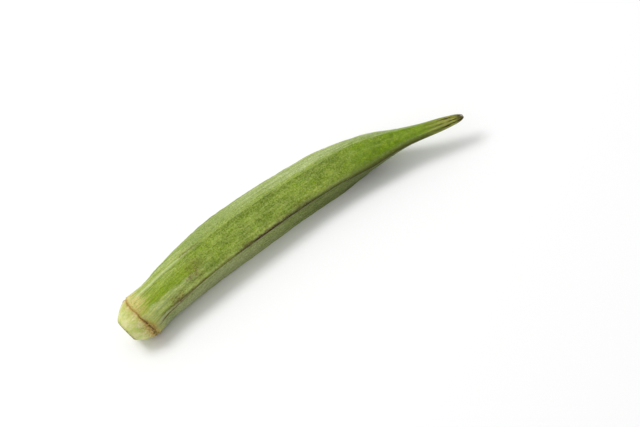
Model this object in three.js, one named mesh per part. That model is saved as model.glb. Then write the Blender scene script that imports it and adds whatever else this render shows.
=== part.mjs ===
// An okra pod, trimmed at the stem and lying on its side on a flat surface.
// Millimetres. +X runs from the cut stem to the tip, +Z is up, and the surface is z = 0.
// It is one solid with four stretches: the cut across the stem, the receptacle that swells
// from the stem, the scar where the calyx dropped off, and the five-ridged pod with its beak.
import * as THREE from 'three';

const DEG = Math.PI / 180;

// ---- Driving dimensions ----

// The centre line from the stem cut to the tip, as [x, y, z]. The pod bows to +Y and its beak lifts.
const CENTRE_LINE = [
  [-68.3, -7.1, 8.1], // stem cut
  [-54.0, -3.4, 8.2], // neck, the thinnest place before the belly
  [-33.6, 1.2, 8.3],
  [-12.6, 3.6, 8.1], // belly, the thickest place
  [14.4, 4.7, 7.4],
  [28.9, 3.2, 7.4], // shoulder
  [42.7, -0.7, 8.9],
  [56.4, -5.6, 10.2], // beak
  [69.3, -9.8, 10.8], // tip
];

// Outlines, as [distance along the centre line from the cut, radius over the ridges].
const CUT_FACE = [
  [1.9, 0.0], // bottom of the hollow pith
  [1.7, 0.6],
  [0.8, 1.0],
  [0.4, 2.4],
  [0.0, 4.0],
];
const RECEPTACLE = [
  [0.0, 4.0],
  [0.4, 4.7],
  [2.6, 6.4],
  [4.8, 7.6],
  [6.7, 8.3],
];
const CALYX_SCAR = [
  [6.7, 8.3],
  [7.0, 8.05],
  [7.5, 8.1],
  [7.9, 8.45],
];
const POD = [
  [7.9, 8.45],
  [10.5, 8.1],
  [15.0, 7.8],
  [21.5, 8.6],
  [29.0, 9.4],
  [49.5, 10.1],
  [77.0, 9.3],
  [91.0, 8.7],
  [105.0, 7.1],
  [120.0, 3.6],
  [134.0, 2.3],
  [138.5, 1.7],
];
const TIP = [
  [138.5, 1.7],
  [140.4, 1.2],
  [141.3, 0.6],
  [141.5, 0.0],
];
const POD_LENGTH = TIP[TIP.length - 1][0];

// The five ridges. Angles run round the pod from -Y, through +Z.
const RIDGES = 5;
const FIRST_RIDGE = 14 * DEG;
// The flank between the first two ridges is narrower than the others at the belly, and wider at both ends.
const FLANK_SPREAD = [[12, 12], [45, -5], [86, -5], [110, 26]]; // degrees, by distance
const RIDGE_DRIFT = [[90, 0], [112, -9]]; // degrees, by distance
const BLUNT_RIDGE = 86 * DEG; // the second ridge is rounded off

// How these grow and fade along the pod, by distance.
const FLATNESS = [[8, 0], [46, 0.92], [90, 0.9], [108, 0.6], [132, 0.4]]; // 0 is a round section, 1 has flat flanks
const RIDGE_HEIGHT = [[8, 0], [13, 0.35], [120, 0.3], [139, 0.1]];
const BLUNTNESS = [[14, 0], [40, 1], [104, 1], [120, 0]];
const RIB_HEIGHT = [[8, 0], [12, 0.35], [24, 0.3], [48, 0]];
const PLEAT_DEPTH = [[2, 0], [4, 0.18], [7, 0]];
const RAGGEDNESS = [[3, 0], [6.7, 1], [7.9, 1], [11, 0]];

const RIDGE_HALF_WIDTH = 0.8; // the raised line on a ridge
const BLUNT_RIDGE_HEIGHT = 0.15; // the share of its raised line that the blunt ridge keeps
const BLUNT_DROP = 0.7; // how much lower the blunt ridge's corner is
const BLUNT_HALF_WIDTH = 2.8;
const RIB_HALF_WIDTH = 1.0; // the low rib down each flank near the stem
const RIB_PLACE = 0.27; // where it stands in its flank, from 0 to 1
const WIDEST_SHARE = 0.14; // the most of a flank that either of them takes
const PLEATS = 7; // round the receptacle
const SCAR_WANDER = 0.45; // how far the scar's edge strays along the pod

// How fine the solid is.
const COLUMNS_PER_FLANK = 12;
const COLUMN_CROWDING = 1.7; // above 1, the columns crowd towards the ridges
const RINGS = { cutFace: 6, receptacle: 8, scar: 4, pod: 46, tip: 5 };

// ---- Curves and sums ----

const toVector = ([x, y, z = 0]) => new THREE.Vector3(x, y, z);
const smoothCurve = (points) => new THREE.CatmullRomCurve3(points.map(toVector), false, 'centripetal');
const centreLine = smoothCurve(CENTRE_LINE);

// The value at a distance of a list of [distance, value], eased from each point to the next.
function valueAt(list, distance) {
  const next = list.findIndex(([at]) => at > distance);
  if (next === 0) return list[0][1];
  if (next < 0) return list[list.length - 1][1];
  const [start, low] = list[next - 1];
  const [end, high] = list[next];
  return THREE.MathUtils.lerp(low, high, THREE.MathUtils.smoothstep(distance, start, end));
}

// A rounded bump, 1 in its middle.
const bump = (offset, halfWidth) => Math.exp(-((offset / halfWidth) ** 2));

// ---- The pod's section ----

// Where a column stands in its flank, from 0 on one ridge to 1 on the next.
function columnPhase(column) {
  const half = COLUMNS_PER_FLANK / 2;
  const fromRidge = Math.min(column, COLUMNS_PER_FLANK - column) / half;
  const phase = 0.5 * fromRidge ** COLUMN_CROWDING;
  return column <= half ? phase : 1 - phase;
}

// The angle round the pod of a place in a flank.
function angleAt(flank, phase, distance) {
  const turn = 2 * Math.PI * (flank + phase) / RIDGES;
  const spread = valueAt(FLANK_SPREAD, distance) * DEG;
  return FIRST_RIDGE + valueAt(RIDGE_DRIFT, distance) * DEG + turn + spread * Math.sin(turn);
}

// The share of the ridges' radius that the middle of a straight-sided section keeps.
function straightSide(flank, phase, distance) {
  const from = angleAt(flank, 0, distance);
  const to = angleAt(flank, 1, distance);
  return Math.cos((to - from) / 2) / Math.cos(angleAt(flank, phase, distance) - (from + to) / 2);
}

// How blunt the ridge at an angle is, from 0 to 1.
function bluntness(distance, angle) {
  return valueAt(BLUNTNESS, distance) * THREE.MathUtils.smoothstep(Math.cos(angle - BLUNT_RIDGE), 0.85, 0.97);
}

// How far the ridge lines, ribs and pleats stand out of the plain section.
function relief(distance, radius, phase, angle) {
  const flankWidth = 2 * Math.PI * radius / RIDGES;
  const ridgeHalf = Math.min(RIDGE_HALF_WIDTH, WIDEST_SHARE * flankWidth);
  const ribHalf = Math.min(RIB_HALF_WIDTH, WIDEST_SHARE * flankWidth);
  const fromRidge = Math.min(phase, 1 - phase) * flankWidth;
  const blunt = bluntness(distance, angle);
  const line = bump(fromRidge, ridgeHalf) * THREE.MathUtils.lerp(1, BLUNT_RIDGE_HEIGHT, blunt);
  const drop = BLUNT_DROP * blunt * bump(fromRidge, BLUNT_HALF_WIDTH);
  const rib = bump((phase - RIB_PLACE) * flankWidth, ribHalf);
  const pleat = Math.cos(PLEATS * angle);
  return valueAt(RIDGE_HEIGHT, distance) * line - drop
    + valueAt(RIB_HEIGHT, distance) * rib
    + valueAt(PLEAT_DEPTH, distance) * pleat;
}

// How far the scar's edge strays along the pod, round its way.
function scarWander(angle) {
  const wave = 0.5 * Math.sin(3 * angle + 0.8) + 0.3 * Math.sin(7 * angle) + 0.2 * Math.sin(13 * angle);
  return SCAR_WANDER * wave;
}

// A point of the skin, for a ring of the outline and a column round it.
function skinPoint(ring, flank, phase) {
  const angle = angleAt(flank, phase, ring.distance);
  const flatness = valueAt(FLATNESS, ring.distance);
  const section = THREE.MathUtils.lerp(1, straightSide(flank, phase, ring.distance), flatness);
  const raised = ring.outside ? relief(ring.distance, ring.radius, phase, angle) : 0;
  const stray = ring.outside ? valueAt(RAGGEDNESS, ring.distance) * scarWander(angle) : 0;

  const share = (ring.distance + stray) / POD_LENGTH;
  const tangent = centreLine.getTangentAt(share);
  const across = new THREE.Vector3().crossVectors(tangent, new THREE.Vector3(0, 0, 1)).normalize();
  const up = new THREE.Vector3().crossVectors(across, tangent);
  const reach = ring.radius * section + raised;
  const point = centreLine.getPointAt(share);
  point.addScaledVector(across, reach * Math.cos(angle));
  point.addScaledVector(up, reach * Math.sin(angle));
  point.z = Math.max(point.z, 0); // its weight flattens it a little where it lies
  return point;
}

// ---- The solid ----

// The rings of one outline, evenly spaced along it, without its last point.
function ringsOf(outline, count, outside) {
  const places = smoothCurve(outline).getSpacedPoints(count).slice(0, -1);
  return places.map(({ x, y }) => ({ distance: x, radius: y, outside }));
}

function buildPod() {
  const [pith, ...cutFace] = ringsOf(CUT_FACE, RINGS.cutFace, false);
  const rings = [
    ...cutFace,
    ...ringsOf(RECEPTACLE, RINGS.receptacle, true),
    ...ringsOf(CALYX_SCAR, RINGS.scar, true),
    ...ringsOf(POD, RINGS.pod, true),
    ...ringsOf(TIP, RINGS.tip, true),
  ];
  const columns = RIDGES * COLUMNS_PER_FLANK;
  const points = [skinPoint(pith, 0, 0)];
  for (const ring of rings) {
    for (let column = 0; column < columns; column += 1) {
      const flank = Math.floor(column / COLUMNS_PER_FLANK);
      points.push(skinPoint(ring, flank, columnPhase(column % COLUMNS_PER_FLANK)));
    }
  }
  points.push(centreLine.getPointAt(1));

  const at = (ring, column) => 1 + ring * columns + (column % columns);
  const last = rings.length - 1;
  const faces = [];
  for (let column = 0; column < columns; column += 1) {
    faces.push(0, at(0, column), at(0, column + 1));
    for (let ring = 0; ring < last; ring += 1) {
      const [a, b] = [at(ring, column), at(ring, column + 1)];
      const [c, d] = [at(ring + 1, column), at(ring + 1, column + 1)];
      faces.push(a, c, b, b, c, d);
    }
    faces.push(at(last, column), points.length - 1, at(last, column + 1));
  }

  const geometry = new THREE.BufferGeometry().setFromPoints(points);
  geometry.setIndex(faces);
  geometry.computeVertexNormals();
  return geometry;
}

const podGreen = new THREE.MeshStandardMaterial({ color: 0x7d9a42, roughness: 0.6, metalness: 0 });
const pod = new THREE.Mesh(buildPod(), podGreen);
pod.name = 'okra_pod';

const group = new THREE.Group();
group.add(pod);

export default group;
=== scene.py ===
"""An okra pod lying on its side: its skin, its down of short hairs, the dry shreds round its scar
and the fibres of its cut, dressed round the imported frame. Blender 4.5, metres."""

import math

import bpy
import numpy as np
from mathutils import Matrix, Vector


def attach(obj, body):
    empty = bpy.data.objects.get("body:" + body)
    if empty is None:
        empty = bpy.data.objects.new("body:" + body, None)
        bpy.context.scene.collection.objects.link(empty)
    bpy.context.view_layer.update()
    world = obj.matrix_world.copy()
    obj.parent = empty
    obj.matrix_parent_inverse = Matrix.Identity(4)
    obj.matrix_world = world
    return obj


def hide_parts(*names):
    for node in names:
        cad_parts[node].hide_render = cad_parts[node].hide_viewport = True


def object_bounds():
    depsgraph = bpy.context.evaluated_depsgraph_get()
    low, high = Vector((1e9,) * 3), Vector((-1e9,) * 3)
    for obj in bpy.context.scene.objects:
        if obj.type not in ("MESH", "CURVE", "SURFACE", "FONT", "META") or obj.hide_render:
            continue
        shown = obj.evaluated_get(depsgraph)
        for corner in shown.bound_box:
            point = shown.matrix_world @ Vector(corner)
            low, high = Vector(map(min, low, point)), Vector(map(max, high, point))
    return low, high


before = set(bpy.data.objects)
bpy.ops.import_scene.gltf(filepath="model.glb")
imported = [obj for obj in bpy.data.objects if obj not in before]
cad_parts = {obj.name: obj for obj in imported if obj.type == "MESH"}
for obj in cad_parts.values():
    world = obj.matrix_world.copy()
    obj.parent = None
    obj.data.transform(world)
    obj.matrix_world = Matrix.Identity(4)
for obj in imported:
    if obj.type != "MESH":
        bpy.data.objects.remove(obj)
CAD_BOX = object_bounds()

MM = 0.001
DEG = math.pi / 180

# ---- The pod's driving dimensions, in millimetres and degrees, as in the solid ----

CENTRE_LINE = [
    (-68.3, -7.1, 8.1),  # stem cut
    (-54.0, -3.4, 8.2),  # neck
    (-33.6, 1.2, 8.3),
    (-12.6, 3.6, 8.1),  # belly
    (14.4, 4.7, 7.4),
    (28.9, 3.2, 7.4),  # shoulder
    (42.7, -0.7, 8.9),
    (56.4, -5.6, 10.2),  # beak
    (69.3, -9.8, 10.8),  # tip
]

# Outlines: (distance along the centre line from the cut, radius over the ridges).
CUT_FACE = [(1.9, 0.0), (1.7, 0.6), (0.8, 1.0), (0.4, 2.4), (0.0, 4.0)]
RECEPTACLE = [(0.0, 4.0), (0.4, 4.7), (2.6, 6.4), (4.8, 7.6), (6.7, 8.3)]
CALYX_SCAR = [(6.7, 8.3), (7.0, 8.05), (7.5, 8.1), (7.9, 8.45)]
POD = [
    (7.9, 8.45),
    (10.5, 8.1),
    (15.0, 7.8),
    (21.5, 8.6),
    (29.0, 9.4),
    (49.5, 10.1),
    (77.0, 9.3),
    (91.0, 8.7),
    (105.0, 7.1),
    (120.0, 3.6),
    (134.0, 2.3),
    (138.5, 1.7),
]
TIP = [(138.5, 1.7), (140.4, 1.2), (141.3, 0.6), (141.5, 0.0)]
POD_LENGTH = TIP[-1][0]

RIDGES = 5
FIRST_RIDGE = 14.0
FLANK_SPREAD = [(12, 12), (45, -5), (86, -5), (110, 26)]
RIDGE_DRIFT = [(90, 0), (112, -9)]
BLUNT_RIDGE = 86.0

# How these grow and fade along the pod: (distance, value).
FLATNESS = [(8, 0), (46, 0.92), (90, 0.9), (108, 0.6), (132, 0.4)]
RIDGE_HEIGHT = [(8, 0), (13, 0.35), (120, 0.3), (139, 0.1)]
BLUNTNESS = [(14, 0), (40, 1), (104, 1), (120, 0)]
RIB_HEIGHT = [(8, 0), (12, 0.35), (24, 0.3), (48, 0)]
PLEAT_DEPTH = [(2, 0), (4, 0.18), (7, 0)]
RAGGEDNESS = [(3, 0), (6.7, 1), (7.9, 1), (11, 0)]

RIDGE_HALF_WIDTH = 0.8
BLUNT_RIDGE_HEIGHT = 0.15
BLUNT_DROP = 0.7
BLUNT_HALF_WIDTH = 2.8
RIB_HALF_WIDTH = 1.0
RIB_PLACE = 0.27  # where it stands in its flank, from 0 to 1
WIDEST_SHARE = 0.14
PLEATS = 7
SCAR_WANDER = 0.45

# ---- What is finer than the solid, in the same units ----

SCAR_MIDDLE = 7.1  # its distance along the pod
SHRED_PLACE = 7.2  # the dry shreds stand just past the scar's middle
SHRED_HALF_WIDTH = 0.6
TORN_SIDE = -24.0  # the angle that the scar is widest and most torn at
BEAK_FURROWS = 10.0
BARK_RADIUS = 3.6  # on the cut, between the fibres and the green rim
CUT_RAYS = 17.0
FIBRE_HEIGHT = 0.7
RAY_HEIGHT = 0.07
BARK_GROOVE = 0.22
DEEPEST_PIT = 0.3
SPLIT_HALF_WIDTH = 0.24  # the crack along each ridge line
GUTTER_HALF_WIDTH = 0.6  # the low stretch beside each ridge line
GUTTER_PLACE = 2.1  # how far it lies from the ridge, in half widths of the ridge line
HAIRLESS_HEIGHT = 0.3  # no hairs grow lower than this above the floor

# How high the finer relief is: (distance, millimetres).
SWELL = [(9, 0), (20, 0.4), (110, 0.3), (125, 0.05)]
DENTS = [(9, 0), (16, 0.5), (100, 0.4), (125, 0.06)]
STRANDS = [(8, 0.2), (14, 0.75), (60, 0.3), (120, 0.1)]
CREST = [(8, 0), (14, 0.4), (130, 0.2)]
SPLIT = [(9, 0), (15, -0.14), (100, -0.1), (125, 0)]
GUTTER = [(9, 0), (15, -0.12), (110, -0.08), (125, 0)]
BEAK_GROOVES = [(122, 0), (132, 0.09), (139, 0.09), (141, 0)]
SCAR_CRUMBS = [(5.6, 0), (6.8, 0.5), (8.0, 0.6), (9.4, 0)]
CAP_WRINKLES = [(0, 0), (1.5, 0.45), (6, 0.5), (8, 0.1)]
HAIRINESS = [(8.6, 0), (11, 0.6), (36, 1), (88, 1), (110, 0.4), (124, 0.1)]  # 1 is the full down

# How fine the skin is.
COLUMNS_PER_FLANK = 96
COLUMN_CROWDING = 1.25
RINGS = {"cut face": 22, "receptacle": 26, "scar": 14, "pod": 120, "tip": 12}
STEPS_PER_SPAN = 64  # of a smooth curve, before its points are spaced evenly
CENTRE_LINE_STEPS = 400
MERGE_DISTANCE = 2e-7  # metres, for the seam and the closed ends
SUNK_SHARE = 0.08  # how much of a spike is under the skin
SPIKE_SCALES = (0.55, 1.25)  # the smallest and the largest, as a share of the plain spike


# ---- Nodes ----


class Value:
    """An output of a node. Sums on it add Math nodes to the same tree."""

    def __init__(self, tree, socket):
        self.tree = tree
        self.socket = socket

    def __add__(self, other):
        return math_node(self.tree, "ADD", self, other)

    def __radd__(self, other):
        return math_node(self.tree, "ADD", other, self)

    def __sub__(self, other):
        return math_node(self.tree, "SUBTRACT", self, other)

    def __rsub__(self, other):
        return math_node(self.tree, "SUBTRACT", other, self)

    def __mul__(self, other):
        return math_node(self.tree, "MULTIPLY", self, other)

    def __rmul__(self, other):
        return math_node(self.tree, "MULTIPLY", other, self)

    def __truediv__(self, other):
        return math_node(self.tree, "DIVIDE", self, other)

    def __rtruediv__(self, other):
        return math_node(self.tree, "DIVIDE", other, self)


def feed(tree, socket, value):
    """Links a socket to a Value, or sets the socket's own value."""
    if isinstance(value, Value):
        tree.links.new(value.socket, socket)
    else:
        socket.default_value = value


def node(tree, kind, *values, out=0, named=None, **settings):
    """Adds a node with its settings and its inputs, in order or by name. Gives one output, or a
    list of them when out is a tuple."""
    made = tree.nodes.new(kind)
    for name, setting in settings.items():
        setattr(made, name, setting)
    sockets = [socket for socket in made.inputs if socket.enabled]
    for socket, value in zip(sockets, values):
        feed(tree, socket, value)
    for name, value in (named or {}).items():
        feed(tree, next(socket for socket in sockets if socket.name == name), value)
    outputs = [socket for socket in made.outputs if socket.enabled]
    names = [socket.name for socket in outputs]
    wanted = out if isinstance(out, tuple) else (out,)
    places = [names.index(label) if isinstance(label, str) else label for label in wanted]
    given = [Value(tree, outputs[place]) for place in places]
    return given if isinstance(out, tuple) else given[0]


def math_node(tree, operation, *values):
    return node(tree, "ShaderNodeMath", *values, operation=operation)


def vector_node(tree, operation, *values):
    return node(tree, "ShaderNodeVectorMath", *values, operation=operation)


def cosine(angle):
    return math_node(angle.tree, "COSINE", angle)


def sine(angle):
    return math_node(angle.tree, "SINE", angle)


def scaled(vector, factor):
    return node(vector.tree, "ShaderNodeVectorMath", operation="SCALE",
                named={"Vector": vector, "Scale": factor})


def combined(tree, x, y, z):
    return node(tree, "ShaderNodeCombineXYZ", x, y, z)


def parted(vector):
    """The three numbers of a vector."""
    return node(vector.tree, "ShaderNodeSeparateXYZ", vector, out=(0, 1, 2))


def ramp(value, start, end, low=0.0, high=1.0):
    """Goes smoothly from low at start to high at end."""
    return node(value.tree, "ShaderNodeMapRange", value, start, end, low, high,
                interpolation_type="SMOOTHSTEP")


def eased(distance, points):
    """The value at a distance of a list of (distance, value), eased from each point to the next."""
    total = points[0][1]
    for (start, low), (end, high) in zip(points, points[1:]):
        total = ramp(distance, start, end, 0.0, high - low) + total
    return total


def bump_at(offset, half_width):
    """A rounded bump, 1 in its middle."""
    share = offset / half_width
    return math_node(offset.tree, "EXPONENT", share * share * -1.0)


def noise(vector, scale, detail=2.0, roughness=0.5, distortion=0.0):
    """Smooth noise from 0 to 1, 0.5 on average."""
    return node(vector.tree, "ShaderNodeTexNoise", named={
        "Vector": vector, "Scale": scale, "Detail": detail, "Roughness": roughness,
        "Distortion": distortion})


def new_group(name, kind, inputs, outputs):
    """A node group with named sockets. Gives its tree, its inputs by name and its output node."""
    tree = bpy.data.node_groups.new(name, kind)
    for label, socket_type in outputs.items():
        tree.interface.new_socket(label, in_out="OUTPUT", socket_type=socket_type)
    for label, (socket_type, default) in inputs.items():
        item = tree.interface.new_socket(label, in_out="INPUT", socket_type=socket_type)
        if default is not None:
            item.default_value = default
    entry = tree.nodes.new("NodeGroupInput")
    exit_node = tree.nodes.new("NodeGroupOutput")
    given = {socket.name: Value(tree, socket) for socket in entry.outputs if socket.name}
    return tree, given, exit_node


# ---- Geometry trees ----


def shape_tree(name, inputs):
    """A geometry tree with named inputs that gives one mesh."""
    mesh, material = "NodeSocketGeometry", "NodeSocketMaterial"
    kinds = {"Geometry": (mesh, None), **inputs, "Material": (material, None)}
    return new_group(name, "GeometryNodeTree", kinds, {"Geometry": mesh})


def end_shape(tree, given, exit_node, mesh):
    """Ends a geometry tree: its instances made real, and its material set."""
    real = node(tree, "GeometryNodeRealizeInstances", mesh)
    dressed = node(tree, "GeometryNodeSetMaterial",
                   named={"Geometry": real, "Material": given["Material"]})
    feed(tree, exit_node.inputs["Geometry"], dressed)


def grown(name, tree, source=None, **sizes):
    """The plain mesh object that a geometry tree makes from its named inputs."""
    start = source.data.copy() if source else bpy.data.meshes.new(name + " start")
    piece = bpy.data.objects.new(name, start)
    bpy.context.scene.collection.objects.link(piece)
    modifier = piece.modifiers.new("Shape", "NODES")
    modifier.node_group = tree
    for item in tree.interface.items_tree:
        size = sizes.get(item.name.replace(" ", "_").lower())
        if item.in_out == "INPUT" and size is not None:
            modifier[item.identifier] = size
    evaluated = piece.evaluated_get(bpy.context.evaluated_depsgraph_get())
    mesh = bpy.data.meshes.new_from_object(evaluated)
    piece.modifiers.clear()
    piece.data = mesh
    mesh.name = name
    bpy.data.meshes.remove(start)
    return piece


def stored(tree, mesh, name, value, data_type="FLOAT", domain="POINT"):
    """Keeps a value on the mesh's points or instances, for its material."""
    return node(tree, "GeometryNodeStoreNamedAttribute", data_type=data_type, domain=domain,
                named={"Geometry": mesh, "Name": name, "Value": value})


def kept_between(point, lowest, highest):
    """A point moved, where it has to be, to lie on the floor and inside the solid's box."""
    raised = vector_node(point.tree, "MAXIMUM", point, lowest)
    return vector_node(point.tree, "MINIMUM", raised, highest)


def smooth_points(points, count):
    """Evenly spaced points of the centripetal Catmull-Rom curve through some points."""
    given = np.array(points, float)
    padded = np.vstack([2 * given[0] - given[1], given, 2 * given[-1] - given[-2]])
    spans = np.sqrt(np.linalg.norm(np.diff(padded, axis=0), axis=1))
    t = np.linspace(0, 1, STEPS_PER_SPAN, endpoint=False)[:, None]
    dense = []
    for i in range(1, len(given)):
        p0, p1, p2, p3 = padded[i - 1:i + 3]
        d0, d1, d2 = spans[i - 1:i + 2]
        leave = ((p1 - p0) / d0 - (p2 - p0) / (d0 + d1) + (p2 - p1) / d1) * d1
        arrive = ((p2 - p1) / d1 - (p3 - p1) / (d1 + d2) + (p3 - p2) / d2) * d1
        square = 3 * (p2 - p1) - 2 * leave - arrive
        cube = 2 * (p1 - p2) + leave + arrive
        dense.append(p1 + leave * t + square * t**2 + cube * t**3)
    dense = np.vstack([*dense, given[-1:]])
    run = np.concatenate([[0], np.cumsum(np.linalg.norm(np.diff(dense, axis=0), axis=1))])
    places = np.linspace(0, run[-1], count + 1)
    return np.stack([np.interp(places, run, dense[:, axis]) for axis in range(given.shape[1])], axis=1)


def guide(name, points):
    """A line of points that a geometry tree reads. It is removed once the shape is made."""
    mesh = bpy.data.meshes.new(name)
    mesh.from_pydata([tuple(p) for p in points], [(i, i + 1) for i in range(len(points) - 1)], [])
    line = bpy.data.objects.new(name, mesh)
    bpy.context.scene.collection.objects.link(line)
    return line


def outline_rings():
    """Every ring as (distance, radius, 1 outside or 0 on the cut face), from the pith to the tip."""
    stretches = [
        (CUT_FACE, RINGS["cut face"], 0.0),
        (RECEPTACLE, RINGS["receptacle"], 1.0),
        (CALYX_SCAR, RINGS["scar"], 1.0),
        (POD, RINGS["pod"], 1.0),
        (TIP, RINGS["tip"], 1.0),
    ]
    rings = []
    for outline, count, outside in stretches:
        for distance, radius in smooth_points(outline, count)[:-1]:
            rings.append((distance, radius, outside))
    rings.append((*TIP[-1], 1.0))
    return rings


# ---- The pod ----


class SkinPoint:
    """Where a point of the skin stands: on its ring, in its flank and round the pod."""

    def __init__(self, tree, given):
        self.tree = tree
        self.given = given
        per_flank = given["Columns per Flank"]
        columns = given["Ridges"] * per_flank
        gaps = given["Rings"] - 1
        self.grid = node(tree, "GeometryNodeMeshGrid", columns, gaps, columns + 1, given["Rings"])
        across_grid, along_grid, _ = parted(node(tree, "GeometryNodeInputPosition"))
        column = math_node(tree, "ROUND", across_grid + columns / 2)
        ring = math_node(tree, "ROUND", along_grid + gaps / 2)

        outline = node(tree, "GeometryNodeObjectInfo", given["Outline"], out="Geometry")
        here = node(tree, "GeometryNodeInputPosition")
        read = node(tree, "GeometryNodeSampleIndex", outline, here, ring,
                    data_type="FLOAT_VECTOR", domain="POINT")
        self.distance, self.radius, self.outside = parted(read)

        self.flank = math_node(tree, "FLOOR", column / per_flank)
        self.phase = self.crowded(math_node(tree, "FRACT", column / per_flank))
        self.angle = self.angle_at(self.phase)
        self.place = combined(tree, self.distance, self.radius * cosine(self.angle),
                              self.radius * sine(self.angle))

    def crowded(self, even):
        """The place in a flank, from 0 on one ridge to 1 on the next, crowded towards both."""
        past_half = math_node(self.tree, "GREATER_THAN", even, 0.5)
        from_edge = math_node(self.tree, "MINIMUM", even, 1.0 - even)
        near = math_node(self.tree, "POWER", from_edge * 2.0, COLUMN_CROWDING) * 0.5
        return near + past_half * (1.0 - near * 2.0)

    def angle_at(self, phase):
        """The angle round the pod of a place in this point's flank."""
        turn = (self.flank + phase) * (2 * math.pi) / self.given["Ridges"]
        spread = eased(self.distance, FLANK_SPREAD) * DEG
        drift = eased(self.distance, RIDGE_DRIFT) * DEG
        return self.given["First Ridge"] + drift + turn + spread * sine(turn)

    def add_lines(self):
        """Adds the ridge line and the rib, 1 in their middles, and how far off they are."""
        flank_width = self.radius * (2 * math.pi) / self.given["Ridges"]
        widest = flank_width * WIDEST_SHARE
        self.ridge_half = math_node(self.tree, "MINIMUM", self.given["Ridge Half Width"], widest)
        rib_half = math_node(self.tree, "MINIMUM", self.given["Rib Half Width"], widest)
        self.from_ridge = math_node(self.tree, "MINIMUM", self.phase, 1.0 - self.phase) * flank_width
        self.from_rib = (self.phase - RIB_PLACE) * flank_width
        self.ridge = bump_at(self.from_ridge, math_node(self.tree, "MAXIMUM", self.ridge_half, 0.01))
        self.rib = bump_at(self.from_rib, math_node(self.tree, "MAXIMUM", rib_half, 0.01))
        facing_it = cosine(self.angle - BLUNT_RIDGE * DEG)
        self.blunt = ramp(facing_it, 0.85, 0.97) * eased(self.distance, BLUNTNESS)


def straight_sided(point):
    """The share of the ridges' radius that the section keeps, from round to flat-flanked."""
    start, end = point.angle_at(0.0), point.angle_at(1.0)
    straight_side = cosine((end - start) * 0.5) / cosine(point.angle - (start + end) * 0.5)
    return 1.0 + eased(point.distance, FLATNESS) * (straight_side - 1.0)


def main_relief(point):
    """The ridge lines, the ribs and the pleats of the receptacle, in millimetres."""
    line = point.ridge * (1.0 - point.blunt * (1.0 - BLUNT_RIDGE_HEIGHT))
    drop = bump_at(point.from_ridge, BLUNT_HALF_WIDTH) * point.blunt * BLUNT_DROP
    pleat = cosine(point.angle * point.given["Pleats"])
    return (
        eased(point.distance, RIDGE_HEIGHT) * line - drop
        + eased(point.distance, RIB_HEIGHT) * point.rib
        + eased(point.distance, PLEAT_DEPTH) * pleat
    )


def fine_relief(point):
    """The parts of the relief that are finer than the solid, in millimetres."""
    distance, place = point.distance, point.place
    lengthwise = vector_node(point.tree, "MULTIPLY", place, (0.03, 0.5, 0.5))

    def rough(heights, vector, scale, detail=2.0, roughness=0.5):
        return (noise(vector, scale, detail, roughness) - 0.5) * eased(distance, heights)

    crest = point.ridge * (noise(place, 0.8) - 0.5) * eased(distance, CREST)
    split = bump_at(point.from_ridge, SPLIT_HALF_WIDTH) * eased(distance, SPLIT)
    from_gutter = point.from_ridge - point.ridge_half * GUTTER_PLACE
    gutter = bump_at(from_gutter, GUTTER_HALF_WIDTH) * eased(distance, GUTTER)
    return [
        (crest + split + gutter) * (1.0 - point.blunt),
        rough(SWELL, place, 0.1, detail=1.0),
        rough(DENTS, place, 0.3, detail=1.5),
        rough(STRANDS, lengthwise, 1.0),
        cosine(point.angle * BEAK_FURROWS) * eased(distance, BEAK_GROOVES),
        rough(SCAR_CRUMBS, place, 1.5, detail=4.0, roughness=0.7),
        rough(CAP_WRINKLES, lengthwise, 2.4),
    ]


def cut_relief(point):
    """The pitted fibres and the rays of the cut, and the groove between them and the rim."""
    radius, place = point.radius, point.place
    inside_bark = ramp(radius, BARK_RADIUS + 0.35, BARK_RADIUS)
    fibres = (noise(place, 1.6, detail=4.0, roughness=0.65) - 0.5) * inside_bark
    rays = cosine(point.angle * CUT_RAYS + noise(place, 0.5) * 6.0)
    rays = rays * ramp(radius, 0.8, 1.6) * ramp(radius, BARK_RADIUS + 0.2, BARK_RADIUS - 0.2)
    bark_groove = bump_at(radius - BARK_RADIUS, 0.18)
    depth = fibres * FIBRE_HEIGHT + rays * RAY_HEIGHT + bark_groove * BARK_GROOVE
    return math_node(point.tree, "MAXIMUM", depth, -DEEPEST_PIT)


def scar_wander(point):
    """How far the scar's edge strays along the pod, round its way."""
    angle = point.angle
    wave = sine(angle * 3.0 + 0.8) * 0.5 + sine(angle * 7.0) * 0.3 + sine(angle * 13.0) * 0.2
    return wave * point.given["Scar Wander"]


def on_centre_line(point, stray):
    """The centre line's place for a point, and the directions sideways and up there."""
    tree = point.tree
    share = (point.distance + stray) / POD_LENGTH
    centre_points = node(tree, "GeometryNodeObjectInfo", point.given["Centre Line"], out="Geometry")
    curve = node(tree, "GeometryNodeMeshToCurve", centre_points)
    sample = {"mode": "FACTOR", "named": {"Curves": curve, "Factor": share}}
    centre = node(tree, "GeometryNodeSampleCurve", out="Position", **sample)
    tangent = node(tree, "GeometryNodeSampleCurve", out="Tangent", **sample)
    sideways = vector_node(tree, "NORMALIZE", vector_node(tree, "CROSS_PRODUCT", tangent, (0, 0, 1)))
    return centre, sideways, vector_node(tree, "CROSS_PRODUCT", sideways, tangent)


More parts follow.
